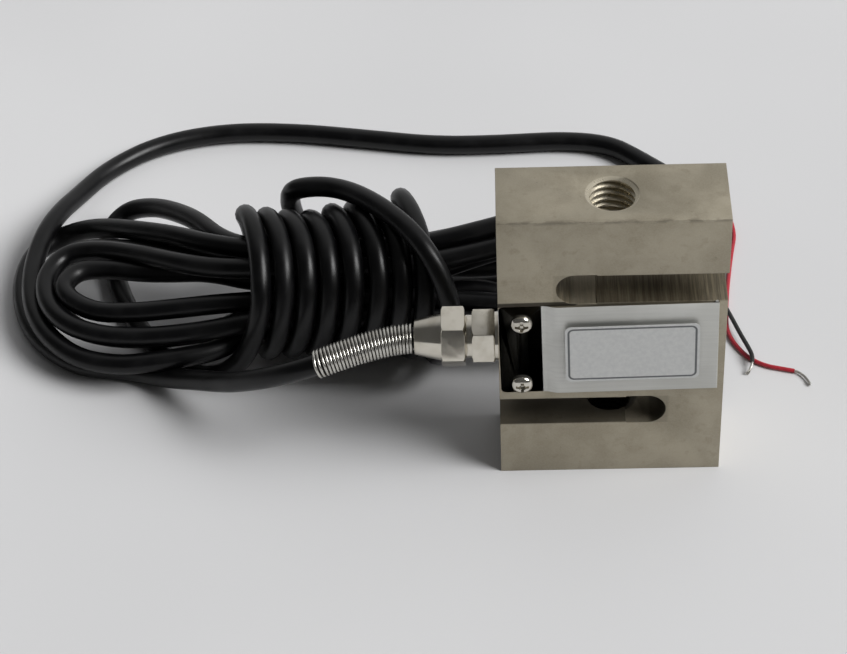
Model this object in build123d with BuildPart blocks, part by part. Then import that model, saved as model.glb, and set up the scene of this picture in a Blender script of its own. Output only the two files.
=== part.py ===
from build123d import *
import math
import os

# S type load cell: an S shaped steel bar with two slots, a threaded hole in each arm, a cover plate
# on each side of its middle, and a cable that leaves through a small gland with a bend spring.
# Millimetres. X runs along the slots, Y from the front cover to the back, Z up the load axis.
# The origin is the middle of the bottom face.

# Bar
block_width = 50.8
block_depth = 19.05
block_height = 76.2
block_edge = 0.25

# Slots: the lower one is open to the left, the upper one to the right
slot_height = 7.9
slot_offset = 18.6
slot_reach = 12.5
pocket_height = 8.4
pocket_length = 9.0

# Threaded holes, M12 x 1.75, drilled to the thread's core
thread_major = 12.0
thread_pitch = 1.75
thread_mouth = 12.6
thread_inner_mouth = 11.2

# Gauge cavity through the middle of the bar: two bores joined by a neck
cavity_bore = 14.0
cavity_span = 16.0
cavity_neck = 7.5

# Cover plates, bent from sheet: a flat strip on the bar's face under two screws, a field raised off
# the face by a joggle, then a return edge. The front plate leans a little on its screws.
cover_sheet = 0.9
cover_height = 26.2
cover_lift = 0.8
cover_left = 5.0
cover_right = 44.8
cover_corner = 1.2
cover_bend = 1.0
cover_standoff = 0.7
cover_lean = 1.0
strip_width = 5.0
joggle_width = 3.0

# Cover screws, M2.5 pan head with a cross recess
screw_inset = 5.2
screw_spacing = 18.4
screw_thread = 2.5
screw_length = 5.4
screw_hole_depth = 5.2
screw_clearance = 0.05
cover_hole = 3.0
head_diameter = 4.8
head_height = 1.9
head_rim = 0.7
recess_span = 2.7
recess_blade = 0.7
recess_depth = 1.0

# Label on the front cover, left bare
label_length = 30.0
label_height = 16.6
label_thickness = 0.12
label_corner = 1.4
label_x = 24.7
label_drop = 0.4

# Strain gauges, bonded to the cavity's bores
gauge_thickness = 0.15
gauge_arc = 50.0
gauge_width = 5.0
glue_gap = 0.05

# Terminal board on the cavity's neck
board_length = 7.0
board_width = 8.0
board_thickness = 0.8

# Cable gland on the left side
gland_drop = 3.5
gland_thread = 8.0
gland_stub = 6.0
gland_hole_depth = 6.6
gland_clearance = 0.1
washer_thickness = 0.8
washer_diameter = 11.4
body_hex = 12.0
body_hex_length = 5.2
body_turn = 43.0
neck_diameter = 10.0
neck_length = 6.0
neck_bore = 8.0
neck_bore_depth = 3.8
neck_show = 1.6
seal_length = 3.4
clamp_length = 2.4
clamp_tip = 6.6
nut_hex = 12.7
nut_hex_length = 5.4
nut_turn = 49.0
nut_thread_length = 4.8
nut_taper_length = 3.0
cone_length = 6.2
cone_large = 10.9
cone_small = 8.0
mouth_bore = 7.2
mouth_depth = 1.0
hex_chamfer = 0.5

# Bend spring, close wound: a collar in the nut's mouth, then one rib for each turn of its wire
spring_turns = 28
spring_pitch = 0.85
spring_groove = 0.28
spring_start = 7.4
spring_end = 6.9
spring_collar = 6.6
spring_gap = 0.15
spring_sides = 20

# Cable and its four cores
cable_diameter = 5.0
cable_clearance = 0.3
core_diameter = 1.1
core_spread = 0.85
core_lead = 4.0
tip_diameter = 0.7
tip_lead = 2.2

# Route of the lead: straight out of the gland, through its spring, down to the table, into the hank
lead_straight = 9.4
lead_points = [
    (-56.6, 0.0, 31.5), (-66.8, 0.5, 26.8), (-77.2, 4.5, 20.3), (-87.3, 9.8, 13.4), (-97.6, 14.6, 7.2),
    (-108.4, 19.6, 3.6), (-120.0, 23.2, 2.6),
]

# Route of the back stretch: out of the hank, behind the bar, to the cut end of the jacket
back_route = [
    (-140.0, 62.0, 7.0), (-138.9, 74.0, 6.2), (-132.8, 87.4, 4.2), (-122.0, 103.0, 2.8),
    (-106.0, 113.6, 2.6), (-84.0, 117.2, 2.6), (-56.0, 113.8, 2.6), (-26.0, 110.4, 2.6),
    (0.0, 108.4, 2.6), (15.4, 102.6, 2.6), (24.8, 93.2, 2.6), (30.4, 82.6, 2.6),
]

# The four cores: place in the jacket (across, up), route from a short straight lead, and tip's end
core_places = {"red": (-1, 1), "black": (-1, -1), "green": (1, 1), "white": (1, -1)}
core_routes = {
    "red": [
        (35.3, 71.6, 1.5), (35.6, 63.4, 0.6), (33.9, 55.0, 0.6), (31.9, 47.0, 0.6), (31.3, 38.8, 0.6),
        (32.8, 31.0, 0.6), (35.8, 26.0, 0.6), (39.6, 23.8, 0.6), (43.2, 22.9, 0.6), (46.1, 21.7, 0.6),
    ],
    "black": [
        (32.4, 70.6, 0.7), (30.2, 62.0, 0.6), (28.8, 54.0, 0.7), (29.6, 47.6, 1.4), (31.4, 42.4, 2.2),
        (33.4, 37.0, 2.0), (35.4, 32.2, 1.9), (35.9, 27.6, 2.2), (34.9, 23.0, 1.6),
    ],
    "green": [
        (31.2, 74.6, 2.5), (27.6, 71.0, 1.2), (21.6, 69.6, 0.6), (14.4, 70.4, 0.6), (6.8, 72.0, 0.6),
    ],
    "white": [
        (31.2, 73.4, 0.7), (28.0, 67.4, 0.6), (21.8, 63.4, 0.6), (14.2, 61.6, 0.6), (7.0, 61.8, 0.6),
    ],
}
core_tips = {
    "red": (49.5, 16.7, 0.6),
    "black": (33.6, 17.4, 0.6),
    "green": (0.6, 72.5, 0.6),
    "white": (0.8, 62.7, 0.6),
}

# Hank: five flat loops on the left, wrapped turns round their middle, and the loops behind the bar
loops_round = (-121.6, 48.4)
loops_radius = 27.6
arch_round = (-117.0, 74.0)
arch_radius = 10.4
loops_height = 17.0
gap_place = (-115.0, 41.0)
gap_length = 26.0
gap_width = 7.0
wrap_left = -95.0
wrap_right = -41.5
wrap_y = 37.0
wrap_radius = 19.0
tail_right = 28.0
tail_front = 19.0
tail_back = 50.0
tail_height = 35.0
tail_fillet = 9.0

half_width = block_width / 2
half_depth = block_depth / 2
middle = block_height / 2
cover_rise = middle + cover_lift
screw_x = screw_inset - half_width
gland_rise = middle - gland_drop
slot_low = middle - slot_offset
slot_high = middle + slot_offset
arm = slot_low - slot_height / 2
thread_core = thread_major - 1.0825 * thread_pitch
screw_rises = {"lower": cover_rise - screw_spacing / 2, "upper": cover_rise + screw_spacing / 2}
cable_bore = cable_diameter + 2 * cable_clearance
gland_out = Plane(origin=(-half_width, 0, gland_rise), x_dir=(-1, 0, 0), z_dir=(0, 1, 0))
gland_axis = Axis((0, 0, gland_rise), (-1, 0, 0))
body_start = washer_thickness
neck_start = body_start + body_hex_length
neck_end = neck_start + neck_length
seal_start = neck_end - neck_bore_depth
clamp_start = seal_start + seal_length
nut_start = neck_start + neck_show
cone_start = nut_start + nut_hex_length
nut_end = cone_start + cone_length
lead_start = half_width + clamp_start
lead_route = [(-lead_start, 0, gland_rise), (-lead_start - lead_straight, 0, gland_rise)] + lead_points

os.makedirs("parts", exist_ok=True)


def save(part, name):
    part.label = name
    export_step(part, "parts/" + name + ".step")


def left_plane(distance):
    """A plane across the gland's axis, a distance out from the bar's left side."""
    return Plane(origin=(-half_width - distance, 0, gland_rise), x_dir=(0, -1, 0), z_dir=(-1, 0, 0))


def turned(points, mode=Mode.ADD):
    """A turned shape round the gland's axis, from its half section: (distance out, radius) points."""
    with BuildSketch(gland_out) as section:
        with BuildLine():
            Polyline(*points, close=True)
        make_face()
    revolve(section.sketch, axis=gland_axis, mode=mode)


def hexagon(start, length, across, turn):
    """A hexagon round the gland's axis, its corners turned off at both ends."""
    corner = across / math.sqrt(3) + 0.05
    with BuildSketch(left_plane(start)) as outline:
        RegularPolygon(across / 2, 6, major_radius=False, rotation=turn)
    extrude(outline.sketch, amount=length)
    turned([
        (start, 0), (start, across / 2), (start + hex_chamfer, corner),
        (start + length - hex_chamfer, corner), (start + length, across / 2), (start + length, 0),
    ], mode=Mode.INTERSECT)


def bend_radii(points):
    """The largest even arc at each corner of a route, 0.45 of the shorter run over tan of half the turn."""
    radii = []
    for before, corner, after in zip(points, points[1:], points[2:]):
        run_in = Vector(*corner) - Vector(*before)
        run_out = Vector(*after) - Vector(*corner)
        half_turn = math.radians(run_in.get_angle(run_out)) / 2
        radii.append(0.45 * min(run_in.length, run_out.length) / math.tan(half_turn))
    return radii


def cord(name, route, diameter):
    """A cord's tube: straight runs joined by tangent arcs, with its length and radii printed."""
    radii = bend_radii(route)
    path = FilletPolyline(*route, radius=radii)
    with BuildPart() as tube:
        with BuildSketch(Plane(origin=path @ 0, z_dir=path % 0)):
            Circle(diameter / 2)
        sweep(path=path)
    expected = math.pi * diameter**2 / 4 * path.length
    print(name, "length", round(path.length, 1), "radii", [round(radius, 1) for radius in radii],
          "volume ratio", round(tube.part.volume / expected, 4))
    return tube.part


# Bar: a billet with its edges broken, slotted from both sides, and drilled
with BuildPart() as load_block:
    with BuildSketch(Plane.XY):
        Rectangle(block_width, block_depth)
    extrude(amount=block_height)
    chamfer(load_block.edges(), block_edge)
    for rise, side in ((slot_low, -1), (slot_high, 1)):
        round_centre = -side * (slot_reach - pocket_height / 2)
        mouth = side * (half_width + 1)
        step = -side * (slot_reach - pocket_length)
        with BuildSketch(Plane.XZ.offset(-half_depth)):
            with Locations(((mouth + round_centre) / 2, rise)):
                Rectangle(abs(mouth - round_centre), slot_height)
            with Locations(((step + round_centre) / 2, rise)):
                Rectangle(abs(step - round_centre), pocket_height)
            with Locations((round_centre, rise)):
                Circle(pocket_height / 2)
        extrude(amount=block_depth, mode=Mode.SUBTRACT)
    with BuildSketch(Plane.XZ.offset(-half_depth)):
        with Locations((-cavity_span / 2, middle), (cavity_span / 2, middle)):
            Circle(cavity_bore / 2)
        with Locations((0, middle)):
            Rectangle(cavity_span, cavity_neck)
    extrude(amount=block_depth, mode=Mode.SUBTRACT)
    for side in (-1, 1):
        for rise in screw_rises.values():
            with Locations(Location((screw_x, side * half_depth, rise), (-90 * side, 0, 0))):
                Hole(screw_thread / 2, depth=screw_hole_depth)
    for face, turn in ((block_height, 0), (0, 180)):
        with Locations(Location((0, 0, face), (turn, 0, 0))):
            CounterSinkHole(thread_core / 2, thread_mouth / 2, depth=arm + 1, counter_sink_angle=90)
    for face, turn in ((arm, 0), (block_height - arm, 180)):
        with Locations(Location((0, 0, face), (turn, 0, 0))):
            CounterSinkHole(thread_core / 2, thread_inner_mouth / 2, depth=1, counter_sink_angle=90)
    with Locations(Location((-half_width, 0, gland_rise), (0, -90, 0))):
        CounterBoreHole(cable_bore / 2, gland_thread / 2, gland_hole_depth, depth=half_width - cavity_span / 2)
save(load_block.part, "load_block")


def cover_plate(lean):
    """The front cover, bent from sheet, leaning by an angle in degrees round the middle of its screws."""
    turn = math.radians(lean)
    along = (math.cos(turn), 0, math.sin(turn))
    up = (-math.sin(turn), 0, math.cos(turn))
    place = (screw_x, -half_depth, cover_rise)
    raised = -cover_standoff
    with BuildPart() as plate:
        with BuildSketch(Plane(origin=place, x_dir=along, z_dir=up).offset(-cover_height / 2)) as bend:
            with BuildLine():
                Polyline(
                    (-cover_left, 0), (strip_width, 0), (strip_width + joggle_width, raised),
                    (cover_right - cover_sheet, raised), (cover_right - cover_sheet, 0), (cover_right, 0),
                    (cover_right, raised - cover_sheet), (strip_width + joggle_width, raised - cover_sheet),
                    (strip_width, -cover_sheet), (-cover_left, -cover_sheet), close=True,
                )
            make_face()
            fillet(bend.vertices().group_by(Axis.X)[-1].sort_by(Axis.Y)[0], cover_bend)
        extrude(amount=cover_height)
        with BuildSketch(Plane(origin=place, x_dir=along, z_dir=(0, -1, 0)).offset(-1)):
            with Locations(((cover_right - cover_left) / 2, 0)):
                RectangleRounded(cover_left + cover_right, cover_height, cover_corner)
            with Locations((0, screw_spacing / 2), (0, -screw_spacing / 2)):
                Circle(cover_hole / 2, mode=Mode.SUBTRACT)
        extrude(amount=cover_standoff + cover_sheet + 2, mode=Mode.INTERSECT)
    return plate.part


save(cover_plate(cover_lean), "front_cover")
save(mirror(cover_plate(0), Plane.XZ), "rear_cover")


def cover_screw(side, rise):
    """A pan head screw with a domed head and a cross recess, through one cover into the bar."""
    head_seat = (screw_x, side * (half_depth + cover_sheet), rise)
    seat = Plane(origin=head_seat, x_dir=(-side, 0, 0), z_dir=(0, side, 0))
    section = Plane(origin=seat.origin, x_dir=(-side, 0, 0), z_dir=(0, 0, -1))
    radius = head_diameter / 2
    shank = screw_thread / 2 - screw_clearance
    with BuildPart() as screw:
        with BuildSketch(section):
            with BuildLine():
                Polyline(
                    (0, head_height), (0, -screw_length), (shank, -screw_length), (shank, 0),
                    (radius, 0), (radius, head_rim), (radius * 0.93, head_height * 0.66),
                    (radius * 0.76, head_height * 0.87), (radius * 0.48, head_height * 0.97), close=True,
                )
            make_face()
        revolve(axis=Axis(seat.origin, (0, side, 0)))
        with BuildSketch(seat.offset(head_height)):
            Rectangle(recess_span, recess_blade)
            Rectangle(recess_blade, recess_span)
        extrude(amount=-recess_depth, mode=Mode.SUBTRACT)
    return screw.part


for face_name, side in (("front", -1), ("rear", 1)):
    for rise_name, rise in screw_rises.items():
        save(cover_screw(side, rise), face_name + "_screw_" + rise_name)

# Label: a thin sticker on the raised field
with BuildPart() as label:
    lean = math.radians(cover_lean)
    field = Plane(
        origin=(screw_x, -half_depth - cover_standoff - cover_sheet, cover_rise),
        x_dir=(math.cos(lean), 0, math.sin(lean)), z_dir=(0, -1, 0),
    )
    with BuildSketch(field):
        with Locations((label_x, -label_drop)):
            RectangleRounded(label_length, label_height, label_corner)
    extrude(amount=label_thickness)
save(label.part, "label")

# Strain gauges: foils on the top and bottom of each bore, where the bar bends
for name, centre_x, middle_angle in (
    ("gauge_upper_left", -cavity_span / 2, 90), ("gauge_upper_right", cavity_span / 2, 90),
    ("gauge_lower_left", -cavity_span / 2, 270), ("gauge_lower_right", cavity_span / 2, 270),
):
    outer = cavity_bore / 2 - glue_gap
    inner = outer - gauge_thickness
    start = math.radians(middle_angle - gauge_arc / 2)
    end = math.radians(middle_angle + gauge_arc / 2)
    centre = math.radians(middle_angle)
    rim = [(centre_x + outer * math.cos(a), middle + outer * math.sin(a)) for a in (start, centre, end)]
    back = [(centre_x + inner * math.cos(a), middle + inner * math.sin(a)) for a in (end, centre, start)]
    with BuildPart() as gauge:
        with BuildSketch(Plane.XZ.offset(-gauge_width / 2)):
            with BuildLine():
                ThreePointArc(*rim)
                Line(rim[2], back[0])
                ThreePointArc(*back)
                Line(back[2], rim[0])
            make_face()
        extrude(amount=gauge_width)
    save(gauge.part, name)

# Terminal board, bonded on the neck's floor
board_floor = middle - cavity_neck / 2
with BuildPart() as terminal_board:
    with BuildSketch(Plane.XY.offset(board_floor)):
        Rectangle(board_length, board_width)
    extrude(amount=board_thickness)
save(terminal_board.part, "terminal_board")

# Gland, from the bar outwards: washer, threaded body, seal, clamp ring and cap nut
with BuildPart() as gland_washer:
    turned([
        (0, gland_thread / 2 + gland_clearance), (0, washer_diameter / 2),
        (washer_thickness, washer_diameter / 2), (washer_thickness, gland_thread / 2 + gland_clearance),
    ])
save(gland_washer.part, "gland_washer")

with BuildPart() as gland_body:
    hexagon(body_start, body_hex_length, body_hex, body_turn)
    stub_radius = gland_thread / 2 - gland_clearance
    turned([(-gland_stub, 0), (-gland_stub, stub_radius), (body_start, stub_radius), (body_start, 0)])
    turned([
        (neck_start, 0), (neck_start, neck_diameter / 2), (neck_end - 0.4, neck_diameter / 2),
        (neck_end, neck_diameter / 2 - 0.4), (neck_end, 0),
    ])
    with Locations(Location((-half_width - neck_end, 0, gland_rise), (0, -90, 0))):
        CounterBoreHole(cable_bore / 2, neck_bore / 2, neck_bore_depth, depth=neck_end + gland_stub)
save(gland_body.part, "gland_body")

seal_radius = neck_bore / 2 - gland_clearance
with BuildPart() as gland_seal:
    turned([
        (seal_start, cable_diameter / 2 + 0.02), (seal_start, seal_radius),
        (clamp_start, seal_radius), (clamp_start, cable_diameter / 2 + 0.02),
    ])
save(gland_seal.part, "gland_seal")

with BuildPart() as gland_clamp:
    turned([
        (clamp_start, cable_bore / 2), (clamp_start, seal_radius),
        (clamp_start + clamp_length, clamp_tip / 2), (clamp_start + clamp_length, cable_bore / 2),
    ])
save(gland_clamp.part, "gland_clamp")

thread_end = nut_start + nut_thread_length
taper_end = thread_end + nut_taper_length
with BuildPart() as gland_nut:
    hexagon(nut_start, nut_hex_length, nut_hex, nut_turn)
    turned([(cone_start, 0), (cone_start, cone_large / 2), (nut_end, cone_small / 2), (nut_end, 0)])
    turned([
        (nut_start, 0), (nut_start, neck_diameter / 2 + gland_clearance),
        (thread_end, neck_diameter / 2 + gland_clearance), (thread_end, neck_bore / 2 + gland_clearance),
        (taper_end, cable_bore / 2), (nut_end - mouth_depth, cable_bore / 2),
        (nut_end - mouth_depth, mouth_bore / 2), (nut_end, mouth_bore / 2), (nut_end, 0),
    ], mode=Mode.SUBTRACT)
save(gland_nut.part, "gland_nut")

# Bend spring: its collar is straight, and its ribs follow the cable down
lead_path = FilletPolyline(*lead_route, radius=bend_radii(lead_route))
ribs_start = half_width + nut_end + spring_gap - lead_start
with BuildPart() as bend_spring:
    for distance in (nut_end - mouth_depth, nut_end - spring_gap):
        with BuildSketch(left_plane(distance)):
            RegularPolygon(spring_collar / 2, spring_sides)
    for step in range(2 * spring_turns + 1):
        share = step / (2 * spring_turns)
        crest = (spring_start + (spring_end - spring_start) * share) / 2
        radius = crest if step % 2 else crest - spring_groove
        place = (ribs_start + step * spring_pitch / 2) / lead_path.length
        with BuildSketch(Plane(origin=lead_path @ place, x_dir=(0, -1, 0), z_dir=lead_path % place)):
            RegularPolygon(radius, spring_sides)
    loft(ruled=True)
    with BuildSketch(Plane(origin=lead_path @ 0, z_dir=lead_path % 0)):
        Circle(cable_bore / 2)
    sweep(path=lead_path, mode=Mode.SUBTRACT)
save(bend_spring.part, "bend_spring")

# Cable inside the gland and the bar, up to the cavity
inner_end = -cavity_span / 2 - cavity_bore / 2
with BuildPart() as cable_in_gland:
    with BuildSketch(Plane(origin=lead_route[0], z_dir=(1, 0, 0))):
        Circle(cable_diameter / 2)
    extrude(amount=inner_end - lead_route[0][0])
save(cable_in_gland.part, "cable_in_gland")

# Cores from the cable's inner end to the terminal board
for number, name in enumerate(("red", "black", "green", "white")):
    across = (number - 1.5) * 1.6
    rise = core_spread if number % 2 else -core_spread
    offset = math.copysign(core_spread, across)
    pad = (-board_length / 2 + 1.2, across, board_floor + board_thickness + core_diameter / 2)
    bow = [
        (inner_end, offset, gland_rise + rise), (inner_end + 2.4, offset, gland_rise + rise),
        (inner_end + 5.4, offset * 1.3, gland_rise + rise + 0.6),
        (pad[0] - 3.2, across, pad[2] + 0.7), pad,
    ]
    save(cord("inner core " + name, bow, core_diameter), "inner_core_" + name)

# Hank: plain closed solid with the outer shape of the loops, the wrapped turns and the loops behind
with BuildPart() as cable_hank:
    with BuildSketch(Plane.XY):
        with Locations(loops_round):
            Circle(loops_radius)
        with Locations(arch_round):
            Circle(arch_radius)
        with Locations((wrap_left, wrap_y)):
            Circle(wrap_radius)
        make_hull()
        with Locations(gap_place):
            SlotOverall(gap_length, gap_width, mode=Mode.SUBTRACT)
    extrude(amount=loops_height)
    with BuildSketch(Plane(origin=(wrap_left, wrap_y, wrap_radius), z_dir=(1, 0, 0))):
        Circle(wrap_radius)
    extrude(amount=wrap_right - wrap_left)
    with BuildSketch(Plane(origin=(wrap_right, 0, 0), x_dir=(0, 1, 0), z_dir=(1, 0, 0))):
        with Locations(((tail_front + tail_back) / 2, tail_height / 2)):
            RectangleRounded(tail_back - tail_front, tail_height, tail_fillet)
    extrude(amount=tail_right - wrap_right)
save(cable_hank.part, "cable_hank")

# Stretches of cable outside the hank, ended where they meet it
for name, route in (("cable_lead", lead_route), ("cable_back", back_route)):
    stretch = cord(name, route, cable_diameter)
    with BuildPart() as visible:
        add(stretch)
        add(cable_hank.part, mode=Mode.SUBTRACT)
    save(visible.part.solids().sort_by(SortBy.VOLUME)[-1], name)

# Cores at the far end, from the cut face of the jacket, and the tinned ends of their strands
jacket_end = Vector(*back_route[-1])
jacket_way = (jacket_end - Vector(*back_route[-2])).normalized()
jacket_side = jacket_way.cross(Vector(0, 0, 1)).normalized()
for name, points in core_routes.items():
    across, up = core_places[name]
    start = jacket_end + jacket_side * (across * core_spread) + Vector(0, 0, up * core_spread)
    lead = start + jacket_way * core_lead
    save(cord("core " + name, [tuple(start), tuple(lead)] + points, core_diameter), "core_" + name)
    end = Vector(*points[-1])
    end_way = (end - Vector(*points[-2])).normalized()
    tip_route = [tuple(end), tuple(end + end_way * tip_lead), core_tips[name]]
    save(cord("tip " + name, tip_route, tip_diameter), "core_tip_" + name)
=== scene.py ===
import bpy
import math
from mathutils import Matrix, Vector


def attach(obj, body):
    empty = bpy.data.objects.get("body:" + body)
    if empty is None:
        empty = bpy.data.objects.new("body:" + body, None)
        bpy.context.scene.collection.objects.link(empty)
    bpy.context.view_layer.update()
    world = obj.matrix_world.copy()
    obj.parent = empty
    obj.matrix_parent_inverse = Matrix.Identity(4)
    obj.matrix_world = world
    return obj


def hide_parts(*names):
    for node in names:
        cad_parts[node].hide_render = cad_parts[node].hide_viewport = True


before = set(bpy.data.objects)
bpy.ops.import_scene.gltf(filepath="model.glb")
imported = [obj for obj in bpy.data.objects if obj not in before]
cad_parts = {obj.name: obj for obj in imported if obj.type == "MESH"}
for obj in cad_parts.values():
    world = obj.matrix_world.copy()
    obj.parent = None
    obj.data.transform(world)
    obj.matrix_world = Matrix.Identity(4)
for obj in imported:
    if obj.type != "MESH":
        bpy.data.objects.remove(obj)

MM = 0.001

# the bar and what sits on it, in millimetres
HALF_WIDTH, HALF_DEPTH, HEIGHT = 25.4, 9.525, 76.2
LOW_SLOT, HIGH_SLOT, SLOT_END, SLOT_RADIUS = 19.5, 56.7, 8.3, 4.2
GLAND_RISE = 34.6
SCREW_X, SCREW_RISES = -20.2, {"lower": 29.7, "upper": 48.1}
COVER_RISE, COVER_SHEET = 38.9, 0.9
CABLE_START = -0.037

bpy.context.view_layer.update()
scene = bpy.context.scene
scene.view_settings.view_transform = "Standard"
bpy.ops.object.select_all(action="DESELECT")


# ---------------------------------------------------------------- finishes

def shade_of(red, green, blue):
    """A colour as the eye names it, 0 to 255, in the linear form that the shader takes."""
    shares = [value / 255 for value in (red, green, blue)]
    return (*[c / 12.92 if c < 0.0404 else ((c + 0.055) / 1.055) ** 2.4 for c in shares], 1.0)


class Value:
    """One socket of a finish. Python's operators on it add the Math nodes."""

    def __init__(self, finish, socket):
        self.finish = finish
        self.socket = socket

    def maths(self, operation, *others, first=False):
        terms = [*others, self] if first else [self, *others]
        return self.finish.node("Math", {"operation": operation}, dict(enumerate(terms)))

    def __add__(self, other): return self.maths("ADD", other)
    def __radd__(self, other): return self.maths("ADD", other, first=True)
    def __sub__(self, other): return self.maths("SUBTRACT", other)
    def __mul__(self, other): return self.maths("MULTIPLY", other)
    def __abs__(self): return self.maths("ABSOLUTE")

    def least(self, other): return self.maths("MINIMUM", other)
    def most(self, other): return self.maths("MAXIMUM", other)
    def root(self): return self.maths("SQRT")

    def fade(self, start, end, low=0.0, high=1.0):
        """Goes smoothly from low to high as this value goes from start to end."""
        return self.finish.node("MapRange", {"interpolation_type": "SMOOTHSTEP"},
                                {0: self, 1: start, 2: end, 3: low, 4: high})


class Finish:
    """One material of the load cell, built node by node."""

    def __init__(self, name, roughness=0.5, metallic=0.0):
        self.material = bpy.data.materials.new(name)
        self.material.use_nodes = True
        self.tree = self.material.node_tree
        self.shader = self.tree.nodes["Principled BSDF"]
        self.shader.inputs["Metallic"].default_value = metallic
        self.shader.inputs["Roughness"].default_value = roughness
        self.place = self.node("TexCoord", {}, {}, "Object")

    def node(self, kind, settings, inputs, output=0):
        made = self.tree.nodes.new("ShaderNode" + kind)
        for name, setting in settings.items():
            setattr(made, name, setting)
        for key, value in inputs.items():
            self.feed(made.inputs[key], value)
        return Value(self, made.outputs[output])

    def feed(self, socket, value):
        if isinstance(value, Value):
            self.tree.links.new(value.socket, socket)
        else:
            socket.default_value = value

    def axes(self, place=None):
        """The place's X, Y and Z, each a value of its own."""
        split = self.tree.nodes.new("ShaderNodeSeparateXYZ")
        self.feed(split.inputs[0], place or self.place)
        return [Value(self, socket) for socket in split.outputs]

    def moved(self, location=(0, 0, 0), scale=(1, 1, 1)):
        """The piece's own coordinates, moved and stretched."""
        return self.node("Mapping", {"vector_type": "POINT"}, {0: self.place, 1: location, 3: scale})

    def grain(self, scale, detail=3.0, roughness=0.55, place=None, warp=0.0):
        """Cloudy noise, about 0 to 1; scale is patches per metre."""
        return self.node("TexNoise", {}, {"Vector": place or self.place, "Scale": scale, "Detail": detail,
                                          "Roughness": roughness, "Distortion": warp})

    def mix(self, share, first, second):
        """A colour between two colours."""
        return self.node("Mix", {"data_type": "RGBA"}, {0: share, 6: first, 7: second}, 2)

    def bump(self, height, strength, distance):
        return self.node("Bump", {}, {"Height": height, "Strength": strength, "Distance": distance})

    def set(self, **values):
        """Feeds the shader's own sockets and hands back the material."""
        for name, value in values.items():
            self.feed(self.shader.inputs[name.replace("_", " ")], value)
        return self.material


def bar_finish():
    """Matt nickel on steel: beige grey, clouded with stains, scuffed along its edges."""
    it = Finish("matt_nickel_bar", metallic=0.72)
    x, y, z = it.axes()
    clouds = it.grain(85, 4, 0.6, warp=0.4).fade(0.36, 0.66)
    spots = it.grain(330, 3, 0.6).fade(0.56, 0.72)
    fine = it.grain(2600, 2, 0.5)
    colour = it.mix(clouds, shade_of(150, 142, 124), shade_of(168, 160, 142))
    colour = it.mix(spots * 0.3, colour, shade_of(128, 119, 100))
    colour = it.mix(fine.fade(0.3, 0.7) * 0.16, colour, shade_of(190, 184, 168))
    top_edge = (abs(z - HEIGHT * MM) + abs(y + HALF_DEPTH * MM)).fade(0.0011, 0.0002)
    scuff = top_edge * it.grain(700, 3, 0.6, it.moved(scale=(0.35, 1, 1))).fade(0.42, 0.6)
    colour = it.mix(scuff * 0.35, colour, shade_of(66, 60, 50))
    # Inside the upper slot: the sawn cutter marks are real, and the slot's darker colour is painted shade.
    slot = abs(z - HIGH_SLOT * MM).fade(0.0044, 0.0040) * abs(y).fade(0.0096, 0.0094) * x.fade(-0.0135, -0.0127)
    passes = it.grain(1900, 4, 0.75, it.moved(scale=(1, 0.03, 0.3)))
    sawn_marks_and_painted_shade = it.mix(passes.fade(0.36, 0.7), shade_of(66, 59, 45), shade_of(122, 112, 91))
    colour = it.mix(slot * 0.85, colour, sawn_marks_and_painted_shade)
    specks = it.grain(1100, 3, 0.7).fade(0.66, 0.72) * it.grain(120, 2, 0.5).fade(0.45, 0.65)
    colour = it.mix(specks * 0.5, colour, shade_of(70, 63, 49))
    # A dark band on the bar's front face just above the front cover's top edge, left of the upper slot.
    above = z - x * 0.01746 - 0.05235
    line = above.fade(-0.0003, 0.0) * above.fade(0.0013, 0.0009)
    dark_line_above_cover = line * y.fade(-0.0094, -0.0095) * x.fade(-0.0075, -0.0085)
    colour = it.mix(dark_line_above_cover * 0.9, colour, shade_of(34, 29, 22))
    # Painted shade: the lower slot and the threaded hole below it are darkened in the base colour.
    lower = abs(z - LOW_SLOT * MM).fade(0.0044, 0.0040) * abs(y).fade(0.0096, 0.0094) * x.fade(0.0135, 0.0127)
    bore_painted_shade = (x * x + y * y).root().fade(0.0068, 0.0060) * z.fade(0.0156, 0.0152) * z.fade(0.0006, 0.0014)
    colour = it.mix(lower * 0.7, colour, shade_of(46, 41, 32))
    colour = it.mix(bore_painted_shade * 0.85, colour, shade_of(24, 21, 16))
    thread = (x * x + y * y).root().fade(0.0061, 0.0058) * z.fade(0.058, 0.059)
    colour = it.mix(thread * 0.7, colour, shade_of(206, 198, 178))
    rough = 0.36 + clouds * 0.1 + fine * 0.1 - thread * 0.18
    height = fine * 0.35 + slot * passes * 1.6 + it.grain(420, 2, 0.5) * 0.4
    return it.set(Base_Color=colour, Roughness=rough, Normal=it.bump(height, 0.35, 0.00008))


def cover_finish():
    """Satin sheet with faint handling marks."""
    it = Finish("satin_cover_sheet", metallic=0.55)
    drawn = it.grain(1500, 3, 0.6, it.moved(scale=(0.06, 1, 1)))
    clouds = it.grain(60, 3, 0.5).fade(0.35, 0.7)
    colour = it.mix(clouds, shade_of(196, 196, 191), shade_of(210, 210, 206))
    colour = it.mix(drawn.fade(0.35, 0.7) * 0.15, colour, shade_of(160, 160, 156))
    rough = 0.4 + drawn * 0.08 + clouds * 0.05
    return it.set(Base_Color=colour, Roughness=rough, Normal=it.bump(drawn, 0.12, 0.00004))


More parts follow.
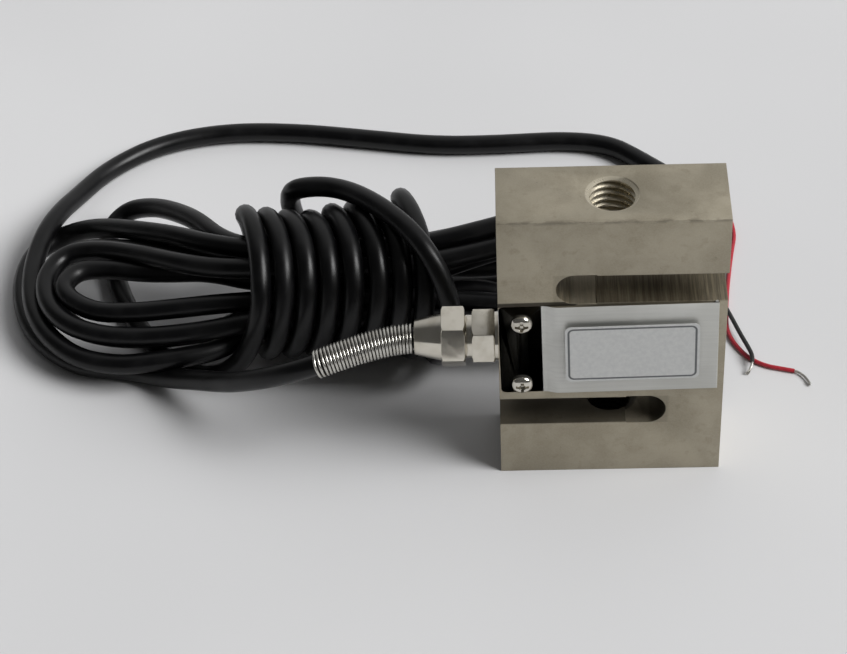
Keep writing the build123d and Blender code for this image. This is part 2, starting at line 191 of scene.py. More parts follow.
def label_finish():
    """Silver film with a dark rounded border."""
    it = Finish("label_film", metallic=0.25)
    flat = it.moved((-0.0045, 0, -0.03893))
    x, y, z = it.axes(flat)
    lean = math.radians(1.0)
    half_x, half_z, corner = 0.0130, 0.00635, 0.0012
    past_x = abs(x * math.cos(lean) + z * math.sin(lean)) - half_x
    past_z = abs(z * math.cos(lean) - x * math.sin(lean)) - half_z
    over_x, over_z = past_x.most(0.0), past_z.most(0.0)
    edge = (over_x * over_x + over_z * over_z).root() + past_x.most(past_z).least(0.0) - corner
    line = abs(edge).fade(0.00030, 0.00018)
    film = it.grain(900, 3, 0.6)
    colour = it.mix(film.fade(0.3, 0.7), shade_of(196, 197, 196), shade_of(205, 206, 204))
    colour = it.mix(line * 0.85, colour, shade_of(52, 56, 60))
    return it.set(Base_Color=colour, Roughness=0.36 + film * 0.08, Normal=it.bump(film, 0.06, 0.00004))


def bright_finish(name, colour, dull, roughness):
    """Bright plated metal with faint turning rings and dull patches."""
    it = Finish(name, metallic=0.95)
    clouds = it.grain(260, 3, 0.6).fade(0.4, 0.7)
    fine = it.grain(3200, 2, 0.5, it.moved(scale=(1, 0.25, 0.25)))
    shade = it.mix(clouds * 0.5, colour, dull)
    rough = roughness + clouds * 0.08 + fine * 0.06
    return it.set(Base_Color=shade, Roughness=rough, Normal=it.bump(fine, 0.12, 0.00003))


def jacket_finish():
    """Black cable jacket, softly glossy, with fine drawn streaks and a little dust."""
    it = Finish("black_cable_jacket")
    fine = it.grain(1900, 3, 0.6)
    clouds = it.grain(140, 3, 0.6).fade(0.4, 0.7)
    colour = it.mix(clouds, shade_of(5, 5, 6), shade_of(11, 11, 12))
    rough = 0.3 + clouds * 0.1 + fine * 0.06
    it.shader.inputs["Specular IOR Level"].default_value = 0.3
    return it.set(Base_Color=colour, Roughness=rough, Normal=it.bump(fine, 0.1, 0.00005))


def plastic_finish(name, colour, second, roughness=0.38):
    """Core insulation or another small plastic piece."""
    it = Finish(name)
    fine = it.grain(1500, 3, 0.6)
    return it.set(Base_Color=it.mix(fine.fade(0.35, 0.7), colour, second), Roughness=roughness + fine * 0.08,
                  Normal=it.bump(fine, 0.1, 0.00004))


bar_plate = bar_finish()
cover_sheet = cover_finish()
label_film = label_finish()
screw_plate = bright_finish("screw_plate", shade_of(214, 210, 200), shade_of(176, 170, 156), 0.1)
gland_plate = bright_finish("gland_plate", shade_of(220, 215, 203), shade_of(196, 189, 174), 0.1)
spring_wire = bright_finish("spring_wire", shade_of(204, 202, 196), shade_of(160, 156, 146), 0.2)
tinned_wire = bright_finish("tinned_wire", shade_of(200, 198, 192), shade_of(150, 147, 140), 0.28)
jacket_black = jacket_finish()
core_paint = {
    "red": plastic_finish("red_core", shade_of(174, 36, 50), shade_of(152, 28, 42)),
    "black": plastic_finish("black_core", shade_of(24, 24, 24), shade_of(34, 33, 32)),
    "green": plastic_finish("green_core", shade_of(32, 116, 66), shade_of(24, 100, 56)),
    "white": plastic_finish("white_core", shade_of(216, 214, 206), shade_of(200, 198, 190)),
}
seal_rubber = plastic_finish("gland_seal", shade_of(28, 28, 28), shade_of(40, 40, 40), 0.6)
clamp_nylon = plastic_finish("gland_clamp", shade_of(206, 202, 190), shade_of(190, 186, 172), 0.45)
gauge_foil = plastic_finish("gauge_film", shade_of(186, 128, 44), shade_of(160, 104, 34), 0.3)
board_green = plastic_finish("terminal_board", shade_of(30, 92, 52), shade_of(24, 78, 44), 0.35)


# ---------------------------------------------------------------- camera, floor and room

def basis(yaw, pitch, roll):
    """The camera's right, up and forward directions."""
    ahead = Vector((math.sin(yaw) * math.cos(pitch), math.cos(yaw) * math.cos(pitch), -math.sin(pitch)))
    right = Vector((math.cos(yaw), -math.sin(yaw), 0))
    up = right.cross(ahead)
    return (right * math.cos(roll) + up * math.sin(roll), up * math.cos(roll) - right * math.sin(roll), ahead)


right, up, ahead = basis(-0.0422, 0.7472, -0.0489)
camera = bpy.data.objects.new("camera", bpy.data.cameras.new("camera"))
scene.collection.objects.link(camera)
camera.matrix_world = Matrix((
    (right.x, up.x, -ahead.x, -0.023922),
    (right.y, up.y, -ahead.y, -0.437225),
    (right.z, up.z, -ahead.z, 0.443108),
    (0, 0, 0, 1),
))
camera.data.sensor_width = 36
camera.data.lens = 111.43
camera.data.clip_start = 0.01
scene.camera = camera

bpy.ops.mesh.primitive_plane_add(size=8, location=(0, 0, 0))
floor = bpy.context.object
floor.name = "floor"
paper = Finish("pale_paper", roughness=0.85)
paper_grain = paper.grain(6, 2, 0.5)
floor.data.materials.append(paper.set(
    Base_Color=paper.mix(paper_grain.fade(0.3, 0.7), shade_of(208, 208, 209), shade_of(214, 214, 215)),
    Roughness=0.85 + paper_grain * 0.05))

world = bpy.data.worlds.new("studio")
scene.world = world
world.use_nodes = True
studio = world.node_tree
outlook = studio.nodes.new("ShaderNodeTexCoord").outputs["Generated"]


def patch(way, start, end, low, high):
    """A soft round patch of the room in one direction."""
    near = studio.nodes.new("ShaderNodeVectorMath")
    near.operation = "DOT_PRODUCT"
    studio.links.new(outlook, near.inputs[0])
    near.inputs[1].default_value = Vector(way).normalized()
    fade = studio.nodes.new("ShaderNodeMapRange")
    fade.interpolation_type = "SMOOTHSTEP"
    for number, value in enumerate((start, end, low, high)):
        fade.inputs[number + 1].default_value = value
    studio.links.new(near.outputs["Value"], fade.inputs[0])
    return fade.outputs[0]


walls = patch((0.15, 0.80, 0.58), 0.40, 0.95, 0.07, 0.62)
window = patch((0.72, -0.20, 0.66), 0.93, 0.99, 0.0, 14.5)
both = studio.nodes.new("ShaderNodeMath")
both.operation = "ADD"
studio.links.new(walls, both.inputs[0])
studio.links.new(window, both.inputs[1])
studio.links.new(both.outputs[0], studio.nodes["Background"].inputs[1])
studio.nodes["Background"].inputs[0].default_value = (1, 1, 1, 1)


# ---------------------------------------------------------------- cable and cores

def metres(points):
    return [tuple(c * MM for c in point) for point in points]


def leaned(x, across, out):
    """A place in the hank by its X, how far up its slope it is, and how far out towards the front."""
    return (x, 37.0 + 0.68 * across - 0.735 * out, 19.1 + 0.735 * across + 0.68 * out)


def inside(across, out, to_right):
    """A strand's way through the wrapped turns."""
    stations = (-84.0, -72.0, -59.0, -46.0)
    return [leaned(x, across, out) for x in (stations if to_right else stations[::-1])]


def leaning(points):
    return [leaned(*point) for point in points]


# wrapped turns from right to left: X and radius at the top, the front and the bottom
wrapped_turns = [
    (-49.4, 21.2, -42.2, 16.6, -47.2, 17.4),
    (-55.2, 18.4, -47.6, 16.6, -53.0, 17.0),
    (-60.8, 18.0, -53.1, 16.6, -58.8, 16.8),
    (-66.0, 17.2, -59.2, 16.7, -64.5, 16.6),
    (-71.4, 15.6, -64.8, 16.5, -70.2, 16.6),
    (-76.9, 16.0, -70.2, 16.4, -75.9, 16.6),
    (-81.9, 16.6, -75.7, 16.6, -81.6, 16.9),
    (-86.9, 17.4, -81.3, 16.8, -86.0, 17.0),
]
back_radius = 16.4


def wraps():
    """From the top of the rightmost turn to the front of the leftmost."""
    points = []
    for number, (top, top_r, front, front_r, bottom, bottom_r) in enumerate(wrapped_turns):
        last = number == len(wrapped_turns) - 1
        next_top, next_r = (top, top_r) if last else wrapped_turns[number + 1][:2]
        for step in range(3 if last else 12):
            angle = math.radians(30 * step)
            wave = abs(math.sin(angle))
            if step <= 3:
                x, r = top + (front - top) * wave, top_r + (front_r - top_r) * wave
            elif step <= 6:
                x, r = bottom + (front - bottom) * wave, bottom_r + (front_r - bottom_r) * wave
            else:
                share = (step - 6) / 6
                x = bottom + (next_top - bottom) * share
                r = (bottom_r + (next_r - bottom_r) * share) * (1 - wave) + back_radius * wave
            y, z = leaned(0, r * math.cos(angle), r * math.sin(angle))[1:]
            points.append((x, y, max(z, 2.7)))
    return points


lead = [
    (-37.0, 0.0, 34.6), (-45.6, 0.0, 34.6), (-53.4, -1.05, 33.7), (-61.2, -2.9, 32.2), (-68.6, -4.6, 30.2),
    (-76.7, -2.3, 25.3), (-85.9, 3.6, 18.0), (-91.8, 8.9, 13.0), (-97.7, 13.5, 9.4), (-102.9, 17.1, 6.4),
    (-108.1, 20.6, 4.0), (-113.6, 23.6, 2.8), (-119.0, 24.8, 2.6),
]
left_outer = [
    (-124.0, 25.4, 2.6), (-129.8, 27.2, 2.6), (-137.1, 33.2, 2.6), (-142.3, 41.0, 2.6), (-145.2, 50.0, 2.6),
    (-146.2, 60.0, 2.6), (-144.0, 69.4, 2.7), (-138.0, 74.0, 3.4), (-131.0, 72.4, 7.2), (-123.6, 67.2, 12.0),
    (-114.7, 60.2, 16.8), (-105.4, 53.6, 20.8), (-96.6, 47.0, 23.6),
]
right_outer = leaning([
    (-33, 10.6, 2.4), (-18, 14.2, 3.4), (-2, 15.2, 4.2), (12, 13.4, 4.6), (20.8, 7.2, 5), (23.2, -1, 5.2),
    (19.2, -8.6, 5.4), (8.6, -11.8, 5.4), (-6, -12.2, 5.4), (-20, -11.4, 5.4), (-33, -10.2, 5.3),
])
left_second = [
    (-92.8, 25.6, 14.8), (-102.4, 24.9, 13.8), (-112.2, 25.2, 12.8), (-122.4, 26.6, 12.4), (-131.4, 31.2, 12.4),
    (-136.8, 39.6, 12.4), (-137.8, 49.2, 12.4), (-133.4, 56.2, 13.2), (-124.3, 55.0, 15.4), (-113.6, 48.6, 19.0),
    (-103.0, 40.8, 22.8), (-94.0, 37.0, 24.2),
]
right_inner = leaning([
    (-33, 5.6, 4.4), (-20, 8.6, 4.8), (-6, 9.8, 5.2), (5.4, 8.4, 5.4), (12.0, 1.5, 5.4), (8.6, -5.6, 5.2),
    (-3.6, -7.2, 4.8), (-18, -6.8, 3.8), (-33, -5.4, 2.8),
])
left_third = [
    (-94.2, 30.4, 18.4), (-104.0, 30.6, 17.0), (-114.1, 31.0, 15.6), (-123.6, 32.9, 14.2), (-130.6, 37.6, 14.4),
    (-132.8, 43.2, 14.2), (-129.4, 48.8, 14.0), (-121.6, 48.6, 14.4), (-112.6, 45.4, 15.8), (-104.3, 43.3, 17.4),
    (-95.6, 41.2, 19.4),
]
right_third = leaning([
    (-33, 4.6, -2.8), (-20, 8.2, -3.0), (-7, 8.8, -3.0), (4.8, 7.4, -3.0), (10.0, 0.6, -3.0), (5.2, -6.4, -3.0),
    (-6, -7.6, -3.0), (-20, -5.4, -3.2), (-32, -1.4, -3.2),
])
left_fourth = [
    (-93.4, 31.4, 9.0), (-103.3, 30.6, 7.8), (-113.2, 30.4, 7.4), (-122.0, 31.4, 7.4), (-129.6, 34.8, 7.4),
    (-134.8, 41.4, 7.3), (-137.0, 50.0, 7.3), (-136.6, 58.2, 7.6), (-131.4, 62.6, 9.0), (-121.6, 60.6, 10.8),
    (-108.9, 54.7, 14.6), (-96.6, 48.2, 17.2),
]
right_back = [
    leaned(-33, 2.6, -8.6), (-22.0, 45.6, 15.4), (-9.0, 48.0, 17.2), (3.8, 50.0, 16.8), (10.2, 53.2, 10.2),
    (5.4, 56.2, 3.2), (-6.0, 56.4, 2.6), (-20.0, 54.4, 2.6), (-36.0, 53.2, 2.6), (-52.0, 52.8, 2.6),
]
overlay = [(-63.0, 53.2, 3.4), (-69.6, 56.6, 8.6)] + leaning([
    (-73.4, 11.2, -18.6), (-75.6, 16.8, -13.6), (-76.2, 20.4, -7.4), (-75.0, 22.4, -2.0), (-71.6, 23.0, 0.6),
    (-66.6, 23.0, 2.0), (-61.4, 21.8, 5.0), (-56.0, 19.2, 10.2), (-50.6, 15.6, 15.0), (-45.4, 11.0, 19.4),
    (-41.2, 5.4, 21.2), (-38.2, -0.6, 20.0), (-36.4, -7.4, 17.6), (-36.8, -13.6, 13.0), (-38.8, -18.0, 5.6),
    (-41.2, -18.6, -2.4),
]) + [(-42.4, 33.6, 2.6), (-43.2, 42.4, 2.8), (-43.8, 50.0, 7.0), (-44.4, 54.6, 15.0), (-46.2, 54.8, 24.0)]
hook = [
    (-81.3, 24.4, 30.6), (-81.6, 21.4, 25.6), (-82.8, 20.1, 20.6), (-84.4, 20.6, 15.4), (-86.2, 21.0, 10.8),
    (-89.0, 20.8, 6.8), (-93.0, 21.0, 4.0), (-97.8, 22.2, 2.7), (-103.0, 25.4, 2.6), (-108.2, 30.0, 2.6),
    (-112.6, 36.0, 2.6), (-116.6, 43.4, 2.6), (-120.0, 51.4, 2.6), (-122.8, 60.4, 2.6), (-125.0, 68.6, 2.6),
    (-126.0, 75.8, 3.1), (-121.4, 81.0, 5.8), (-114.4, 77.4, 10.0), (-108.4, 71.6, 13.8), (-100.5, 62.0, 18.4),
    (-93.0, 50.2, 21.4),
]
right_last = leaning([
    (-33, 10.8, -4.6), (-18, 13.4, -4.2), (-4, 14.0, -3.6), (8, 11.6, -3.2), (15.2, 5.2, -3.0), (15.6, -3.4, -3.0),
    (10, -10.2, -3.0), (-2, -12.8, -3.0), (-18, -12.8, -2.4), (-33, -12.2, -1.4),
])
left_last = [
    (-91.5, 24.6, 9.6), (-98.0, 22.0, 9.6), (-107.5, 20.5, 9.2), (-117.2, 20.2, 8.2), (-127.6, 23.4, 7.8),
    (-135.6, 30.8, 8.0), (-140.4, 40.2, 8.0), (-142.4, 50.4, 8.0), (-142.4, 60.4, 8.1), (-140.8, 69.6, 8.8),
]
back_arc = [
    (-138.2, 78.4, 7.9), (-134.6, 88.2, 5.2), (-128.2, 101.6, 3.0), (-115.6, 112.2, 2.6), (-98.2, 116.8, 2.6),
    (-79.0, 116.0, 2.6), (-60.0, 112.6, 2.6), (-41.0, 109.0, 2.6), (-23.0, 109.1, 2.6), (-7.0, 110.0, 2.6),
    (5.0, 107.8, 2.6), (12.2, 101.4, 2.6), (18.6, 95.0, 2.6), (25.0, 89.4, 2.6), (30.4, 82.6, 2.6),
]
cable_route = (
    lead + left_outer + inside(7.9, 1.6, True) + right_outer + inside(-9.2, 5.2, False)
    + left_second + inside(3.4, 4.6, True) + right_inner + inside(-4.4, 2.4, False)
    + left_third + inside(0.2, -2.4, True) + right_third + inside(-6.6, -3.3, False)
    + left_fourth + inside(4.0, -8.0, True) + right_back + overlay + wraps() + hook
    + inside(8.4, -4.0, True) + right_last + inside(-11.0, -0.6, False) + left_last + back_arc
)


def round_curve(name, lines, resolution, rounding):
    """A curve object with one open smooth line for each list of control points."""
    data = bpy.data.curves.new(name, "CURVE")
    data.dimensions = "3D"
    for points in lines:
        spline = data.splines.new("NURBS")
        spline.points.add(len(points) - 1)
        for point, place in zip(spline.points, points):
            point.co = (*place, 1.0)
        spline.order_u = 3
        spline.use_endpoint_u = True
        spline.resolution_u = resolution
    data.bevel_resolution = rounding
    data.use_fill_caps = True
    piece = bpy.data.objects.new(name, data)
    scene.collection.objects.link(piece)
    return piece


def strand(name, points, diameter, finish, resolution, rounding):
    """One length of cord: a single smooth curve whose control points are the route's points."""
    piece = round_curve(name, [points], resolution, rounding)
    data = piece.data
    data.materials.append(finish)
    line = bpy.data.meshes.new_from_object(piece)
    path = [vertex.co.copy() for vertex in line.vertices]
    bpy.data.meshes.remove(line)
    data.bevel_depth = diameter / 2
    return piece, path


def run_of(path):
    """How far along a path each of its points is."""
    reach = [0.0]
    for before, after in zip(path, path[1:]):
        reach.append(reach[-1] + (after - before).length)
    return reach


def along(path, reach, distance):
    """The place and direction at a distance along a path."""
    for number in range(1, len(reach)):
        if reach[number] >= distance or number == len(reach) - 1:
            run = path[number] - path[number - 1]
            share = (distance - reach[number - 1]) / (reach[number] - reach[number - 1])
            return path[number - 1] + run * share, run.normalized()


cable, cable_line = strand("cable", metres(cable_route), 0.005, jacket_black, 8, 5)
cable_reach = run_of(cable_line)

jacket_end = Vector((0.0304, 0.0826, 0.0026))
jacket_way = (jacket_end - Vector((0.0250, 0.0894, 0.0026))).normalized()
jacket_side = jacket_way.cross(Vector((0, 0, 1))).normalized()
CORE_DIAMETER, CORE_SPREAD = 0.0011, 0.00085
core_places = {"red": (-1, 1), "black": (-1, -1), "green": (1, 1), "white": (1, -1)}
core_routes = {
    "red": [
        (35.6, 72.5, 1.4), (34.2, 66.0, 0.6), (33.0, 58.5, 0.6), (31.8, 50.0, 0.6), (31.0, 42.0, 0.6),
        (30.8, 36.0, 0.6), (32.6, 30.8, 0.6), (35.6, 26.2, 0.6), (39.4, 23.6, 0.6), (43.0, 22.6, 0.6),
        (46.0, 21.7, 0.6),
    ],
    "black": [
        (32.2, 71.0, 0.7), (30.2, 62.0, 0.6), (29.2, 54.0, 0.8), (30.2, 46.5, 1.6), (32.0, 40.2, 2.0),
        (33.8, 33.6, 2.1), (35.5, 28.4, 2.1), (36.2, 25.6, 2.0), (35.9, 24.0, 1.7),
    ],
    "green": [
        (31.2, 74.6, 2.5), (27.6, 71.0, 1.2), (21.6, 69.6, 0.6), (14.4, 70.4, 0.6), (6.8, 72.0, 0.6),
    ],
    "white": [
        (31.2, 73.4, 0.7), (28.0, 67.4, 0.6), (21.8, 63.4, 0.6), (14.2, 61.6, 0.6), (7.0, 61.8, 0.6),
    ],
}
core_tips = {
    "red": (49.4, 16.9, 0.6), "black": (34.4, 21.2, 0.5),
    "green": (0.6, 72.5, 0.6), "white": (0.8, 62.7, 0.6),
}


def bare_tip(colour, start, way, end):
    """The bared end of a core: seven tinned strands with a loose twist, opening a little at their ends."""
    bend = start + way * 0.0022
    rise = Vector((0, 0, 1))
    side = way.cross(rise).normalized()
    lines = []
    for number in range(7):
        line = []
        for step in range(14):
            share = step / 13
            centre = start * (1 - share) ** 2 + bend * 2 * share * (1 - share) + end * share ** 2
            turn = math.radians(60 * number + 300 * share)
            out = 0.0 if number == 6 else 0.00022 + 0.00012 * share ** 3 * (number % 3)
            line.append(centre + side * math.cos(turn) * out + rise * math.sin(turn) * out)
        lines.append(line)
    piece = round_curve(colour + "_tip_strands", lines, 2, 1)
    piece.data.bevel_depth = 0.00011
    piece.data.materials.append(tinned_wire)
    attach(piece, "root")
    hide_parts("core_tip_" + colour)
    return piece


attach(cable, "root")
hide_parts("cable_lead", "cable_hank", "cable_back")

for colour, (side_step, rise_step) in core_places.items():
    first = jacket_end + jacket_side * (side_step * CORE_SPREAD) + Vector((0, 0, rise_step * CORE_SPREAD))
    route = [tuple(first), tuple(first + jacket_way * 0.004)] + metres(core_routes[colour])
    core, core_line = strand("core_" + colour + "_wire", route, CORE_DIAMETER, core_paint[colour], 5, 3)
    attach(core, "root")
    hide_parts("core_" + colour)
    finish_way = (core_line[-1] - core_line[-2]).normalized()
    tip = bare_tip(colour, core_line[-1].copy(), finish_way, Vector(core_tips[colour]) * MM)


# ---------------------------------------------------------------- modelling helpers

MERGE = 0.000002


def chosen():
    return bpy.context.view_layer.objects.active


def pick(piece):
    """Makes a piece the only selected one."""
    bpy.ops.object.select_all(action="DESELECT")
    piece.select_set(True)
    bpy.context.view_layer.objects.active = piece


def settle(piece):
    """Puts a piece's place, turn and size into its mesh."""
    pick(piece)
    bpy.ops.object.transform_apply(location=True, rotation=True, scale=True)
    return piece


def block(low, high):
    """A box between two corners, in millimetres."""
    low, high = Vector(low) * MM, Vector(high) * MM
    size = [abs(reach) for reach in high - low]
    bpy.ops.mesh.primitive_cube_add(size=1, location=(low + high) / 2, scale=size)
    return settle(chosen())


def rod(start, end, radius, sides=64, end_radius=None):
    """A round rod or cone between two points, in millimetres."""
    start, end = Vector(start) * MM, Vector(end) * MM
    way = end - start
    bpy.ops.mesh.primitive_cone_add(
        vertices=sides, radius1=radius * MM, radius2=(radius if end_radius is None else end_radius) * MM,
        depth=way.length, location=(start + end) / 2, rotation=way.to_track_quat("Z", "Y").to_euler())
    return settle(chosen())


def apply(piece, kind, **settings):
    """Adds a modifier and applies it."""
    modifier = piece.modifiers.new(kind, kind)
    for name, value in settings.items():
        setattr(modifier, name, value)
    bpy.context.view_layer.objects.active = piece
    bpy.ops.object.modifier_apply(modifier=modifier.name)
    return piece


def cut(piece, tool, operation="DIFFERENCE"):
    apply(piece, "BOOLEAN", object=tool, operation=operation, solver="EXACT")
    bpy.data.objects.remove(tool)
    return piece


def drawn(points):
    """An open line through points in millimetres, drawn vertex by vertex."""
    points = [Vector(point) * MM for point in points]
    bpy.ops.mesh.primitive_plane_add(size=0.001, location=points[0])
    piece = settle(chosen())
    bpy.ops.object.mode_set(mode="EDIT")
    bpy.ops.mesh.select_all(action="SELECT")
    bpy.ops.mesh.merge(type="CENTER")
    for before, after in zip(points, points[1:]):
        bpy.ops.mesh.extrude_region_move(TRANSFORM_OT_translate={"value": after - before})
    bpy.ops.object.mode_set(mode="OBJECT")
    return piece


def edit(piece):
    """Opens a piece in edit mode with all of it selected."""
    pick(piece)
    bpy.ops.object.mode_set(mode="EDIT")
    bpy.ops.mesh.select_all(action="SELECT")


def close_edit():
    """Turns every face outwards and leaves edit mode."""
    bpy.ops.mesh.select_all(action="SELECT")
    bpy.ops.mesh.normals_make_consistent(inside=False)
    bpy.ops.object.mode_set(mode="OBJECT")


def soften(piece, width, angle=50):
    """Rounds the piece's edges that are sharper than an angle."""
    return apply(piece, "BEVEL", width=width, segments=2, limit_method="ANGLE", angle_limit=math.radians(angle))


def smooth(piece):
    pick(piece)
    bpy.ops.object.shade_smooth_by_angle(angle=math.radians(32))
    piece.select_set(False)
    return piece


def turned(points, centre, way, steps=64):
    """A turned piece: half section points as (distance along the axis, radius), in millimetres."""
    centre, way = Vector(centre), Vector(way).normalized()
    side = way.orthogonal().normalized()
    piece = drawn([centre + way * distance + side * radius for distance, radius in points])
    edit(piece)
    bpy.ops.mesh.spin(steps=steps, angle=2 * math.pi, center=centre * MM, axis=way)
    bpy.ops.mesh.select_all(action="SELECT")
    bpy.ops.mesh.remove_doubles(threshold=MERGE)
    close_edit()
    return piece


def keep(piece, name, finish, slot, *nodes):
    """Names a finished piece, gives it its finish, and puts it in place of its CAD nodes."""
    piece.name = name
    piece.data.name = name
    piece.data.materials.clear()
    piece.data.materials.append(finish)
    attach(piece, "root")
    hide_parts(*nodes)
    return piece


# ---------------------------------------------------------------- bar

def thread_groove(low, high):
    """The groove of an M12 thread on the load axis, as a coiled cutter."""
    pitch = 1.75
    section = [(4.85, 0, -0.775), (6.0, 0, -0.11), (6.0, 0, 0.11), (4.85, 0, 0.775)]
    cutter = drawn([(x, y, z + low) for x, y, z in section])
    edit(cutter)
    bpy.ops.mesh.edge_face_add()
    bpy.ops.object.mode_set(mode="OBJECT")
    rounds = math.ceil((high - low) / pitch)
    apply(cutter, "SCREW", axis="Z", angle=2 * math.pi, screw_offset=pitch * MM, iterations=rounds,
          steps=40, render_steps=40, use_merge_vertices=True, merge_threshold=MERGE)
    edit(cutter)
    close_edit()
    return cutter


bar = block((-HALF_WIDTH, -HALF_DEPTH, 0), (HALF_WIDTH, HALF_DEPTH, HEIGHT))
THROUGH = 12  # a cutter's half length across the bar

# the two slots, each with its rounded end past the middle
for side, rise in ((-1, LOW_SLOT), (1, HIGH_SLOT)):
    end = -side * SLOT_END
    for start, half in ((side * 30, 3.95), (-side * 3.5, SLOT_RADIUS)):
        left, right_side = sorted((start, end))
        cut(bar, block((left, -THROUGH, rise - half), (right_side, THROUGH, rise + half)))
    cut(bar, rod((end, -THROUGH, rise), (end, THROUGH, rise), SLOT_RADIUS, 72))
soften(bar, 0.0003)

# the gauge bores and the pocket between them
for x in (-8, 8):
    cut(bar, rod((x, -THROUGH, 38.1), (x, THROUGH, 38.1), 7))
cut(bar, block((-8, -THROUGH, 34.35), (8, THROUGH, 41.85)))

# the load axis: bores, then the lead-ins at the outer faces and at the slots
inner_faces = (15.55, 60.65)
for low, high in ((-1, 16.55), (60.65, 77.2)):
    cut(bar, rod((0, 0, low), (0, 0, high), 5.053, 80))
for face, way in ((HEIGHT, 1), (0, -1)):
    cut(bar, rod((0, 0, face - way * 0.6), (0, 0, face + way * 0.1), 5.0, 80, 6.4))
for face, way in zip(inner_faces, (1, -1)):
    cut(bar, rod((0, 0, face - way * 0.6), (0, 0, face + way * 0.2), 5.0, 80, 5.8))

# the gland's hole and the way in for the cores, then the screw holes
for end, radius in ((-HALF_WIDTH + 6.6, 4.0), (-14, 2.8)):
    cut(bar, rod((-HALF_WIDTH - 1, 0, GLAND_RISE), (end, 0, GLAND_RISE), radius))
for side in (-1, 1):
    for rise in SCREW_RISES.values():
        cut(bar, rod((SCREW_X, side * 11, rise), (SCREW_X, side * (HALF_DEPTH - 5.2), rise), 1.25, 24))
cut(bar, thread_groove(58.4, 78.6))
cut(bar, thread_groove(-2.0, 17.6))
keep(smooth(bar), "bar", bar_plate, "bar", "load_block")


# ---------------------------------------------------------------- covers

def cover(side, lean):
    """A cover bent from sheet: a strip under the screws, a joggle, a raised field and a returned edge."""
    face = side * HALF_DEPTH
    line = [(-5.0, 0), (4.6, 0), (5.2, 0.04), (5.8, 0.14), (7.2, 0.56), (7.8, 0.66), (8.4, 0.7), (43.78, 0.7),
            (43.86, 0.67), (43.9, 0.58), (43.9, 0)]
    sheet = drawn([(SCREW_X + x, face + side * y, COVER_RISE - 13.1) for x, y in line])
    edit(sheet)
    bpy.ops.mesh.extrude_region_move(TRANSFORM_OT_translate={"value": (0, 0, 0.0262)})
    close_edit()
    outward = sheet.data.polygons[0].normal.y * side > 0
    apply(sheet, "SOLIDIFY", thickness=COVER_SHEET * MM, offset=1 if outward else -1, use_even_offset=True)
    bpy.ops.mesh.primitive_plane_add(size=1, location=(-0.0003, 0, COVER_RISE * MM), rotation=(math.pi / 2, 0, 0))
    outline = chosen()
    outline.scale = (0.0498, 0.0262, 1)
    settle(outline)
    apply(outline, "BEVEL", affect="VERTICES", width=0.0012, segments=8)
    apply(outline, "SOLIDIFY", thickness=0.03, offset=0)
    cut(sheet, outline, "INTERSECT")
    for rise in SCREW_RISES.values():
        cut(sheet, rod((SCREW_X, face - 3, rise), (SCREW_X, face + 3, rise), 1.5, 32))
    soften(sheet, 0.00014)
    turn = Matrix.Rotation(-math.radians(lean), 3, "Y")
    middle = Vector((SCREW_X, face, COVER_RISE)) * MM
    sheet.rotation_euler = turn.to_euler()
    sheet.location = middle - turn @ middle
    return settle(sheet)


for side, lean, name in ((-1, 1.0, "front_cover"), (1, 0.0, "rear_cover")):
    plate = cover(side, lean)
    keep(smooth(plate), name + "_plate", cover_sheet, "cover", name)


# ---------------------------------------------------------------- gland

def gland_piece(profile, across, corner):
    """A turned piece of the gland with its hexagon cut to a width across the flats. The profile is given as
    distances out from the bar's left face and radii, and corner is one edge's angle in degrees."""
    section = [(HALF_WIDTH + out, radius) for out, radius in profile]
    piece = turned(section, (0, 0, GLAND_RISE), (-1, 0, 0), 72)
    angles = [math.radians(corner + 60 * number) for number in range(7)]
    reach = across / 2 / math.cos(math.radians(30))
    prism = drawn([(-10, -math.cos(a) * reach, GLAND_RISE + math.sin(a) * reach) for a in angles])
    edit(prism)
    bpy.ops.mesh.remove_doubles(threshold=MERGE)
    bpy.ops.mesh.edge_face_add()
    bpy.ops.mesh.extrude_region_move(TRANSFORM_OT_translate={"value": (-0.05, 0, 0)})
    close_edit()
    cut(piece, prism, "INTERSECT")
    return soften(piece, 0.00012, 40)


body_profile = [
    (-6.0, 2.7), (-6.0, 3.9), (0.8, 3.9), (0.8, 6.3), (1.15, 6.95), (5.65, 6.95), (6.0, 6.3), (6.0, 5.0),
    (11.6, 5.0), (12.0, 4.6), (12.0, 4.0), (8.2, 4.0), (8.2, 2.7), (-6.0, 2.7),
]
nut_profile = [
    (7.6, 5.1), (7.6, 6.7), (7.95, 7.36), (12.65, 7.36), (13.0, 6.7), (13.0, 5.45), (19.05, 4.04), (19.2, 3.9),
    (19.2, 3.6), (18.2, 3.6), (18.2, 2.7), (15.4, 2.7), (12.4, 4.1), (12.4, 5.1), (7.6, 5.1),
]
for node, profile, across, corner in (
        ("gland_body", body_profile, 12.0, 44.1), ("gland_nut", nut_profile, 12.7, 53.0)):
    keep(smooth(gland_piece(profile, across, corner)), node + "_turned", gland_plate, "gland", node)


# ---------------------------------------------------------------- screws

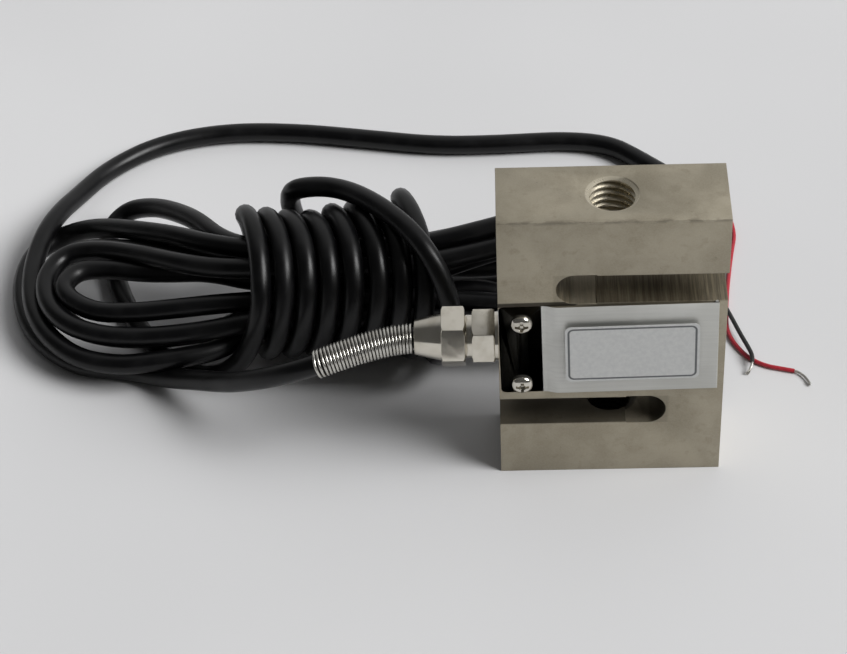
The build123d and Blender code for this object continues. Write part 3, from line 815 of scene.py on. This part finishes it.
def cover_screw(side, rise):
    """A pan head screw with a cross recess that narrows inwards."""
    seat = Vector((SCREW_X, side * (HALF_DEPTH + COVER_SHEET), rise))
    out = Vector((0, side, 0))
    screw = turned([
        (-5.3, 0), (-5.3, 0.95), (-5.0, 1.2), (0, 1.2), (0, 2.4), (0.5, 2.4), (0.8, 2.37), (1.15, 2.22),
        (1.45, 1.93), (1.68, 1.5), (1.82, 1.0), (1.89, 0.5), (1.9, 0),
    ], seat, out, 48)
    for reach in (Vector((1.5, 0, 0.36)), Vector((0.36, 0, 1.5))):
        cut(screw, block(seat + out * 0.75 - reach, seat + out * 2.4 + reach))
    cut(screw, rod(seat + out * 0.4, seat + out * 2.2, 0.3, 24, 0.95))
    return soften(screw, 0.00005)


for side, face_name in ((-1, "front"), (1, "rear")):
    for rise_name, rise in SCREW_RISES.items():
        keep(smooth(cover_screw(side, rise)), face_name + "_cross_screw_" + rise_name, screw_plate, "screw",
             face_name + "_screw_" + rise_name)


# ---------------------------------------------------------------- spring

def bend_spring():
    """The close wound wire round the cable's own line, a little smaller towards its free end."""
    turns, pitch, sides = 28.2, 0.000815, 14
    nut_mouth, inside_nut, outer, wire = 0.0254 + 0.0202, 0.0007, 0.0037, 0.00036
    start = nut_mouth - inside_nut + CABLE_START
    count = int(turns * sides)
    places = []
    for step in range(count + 1):
        share = step / count
        centre, way = along(cable_line, cable_reach, start + share * turns * pitch)
        flat = way.cross(Vector((0, 1, 0))).normalized()
        turn = 2 * math.pi * step / sides
        radius = outer - wire - 0.0002 * share
        places.append(centre + flat * math.cos(turn) * radius + flat.cross(way) * math.sin(turn) * radius)
    piece = round_curve("bend_spring_wire", [places], 2, 2)
    piece.data.bevel_depth = 0.00034
    return piece


spring = keep(bend_spring(), "bend_spring_wire", spring_wire, "spring", "bend_spring")

# ---------------------------------------------------------------- pieces whose CAD shape stays

carried = {
    "gland_washer": gland_plate,
    "gland_seal": seal_rubber, "gland_clamp": clamp_nylon, "cable_in_gland": jacket_black,
    "label": label_film, "terminal_board": board_green,
    "gauge_upper_left": gauge_foil, "gauge_upper_right": gauge_foil,
    "gauge_lower_left": gauge_foil, "gauge_lower_right": gauge_foil,
    "inner_core_red": core_paint["red"], "inner_core_black": core_paint["black"],
    "inner_core_green": core_paint["green"], "inner_core_white": core_paint["white"],
}
for name, finish in carried.items():
    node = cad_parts[name]
    node.data.materials.clear()
    node.data.materials.append(finish)
